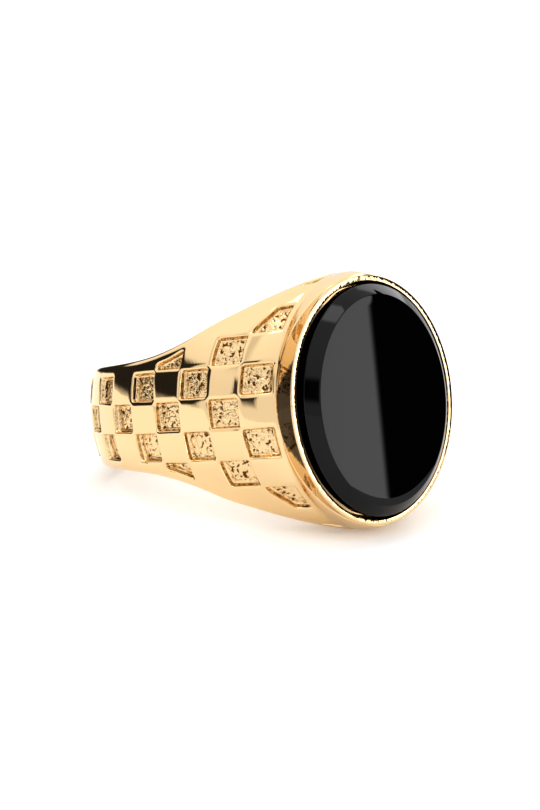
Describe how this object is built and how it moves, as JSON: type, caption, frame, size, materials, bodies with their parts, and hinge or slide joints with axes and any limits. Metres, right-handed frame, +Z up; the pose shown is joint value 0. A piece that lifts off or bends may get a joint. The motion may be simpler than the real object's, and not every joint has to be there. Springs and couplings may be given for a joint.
{
  "type": "signet ring",
  "caption": "Finger ring with a flat-topped oval black stone in a thin bezel, and sunk check squares over its tapering domed band.",
  "frame": {"origin": "on the surface the ring rests on, under the middle of its outline seen from above", "axes": "+Z up as the ring lies on its side at rest, the stone faces -Y and a little upwards, +X across the band from side to side; the finger's axis leans back from +Z towards +Y"},
  "size_m": [0.0222, 0.0264, 0.015],
  "materials": {
    "polished_gold": "yellow gold plate over cast silver, mirror polished, with stippled floors in the sunk checks",
    "black_onyx": "opaque black onyx, cut flat with a bevelled edge and polished"
  },
  "bodies": {
    "root": {"ring_body": "polished_gold", "onyx_stone": "black_onyx"}
  },
  "joints": []
}
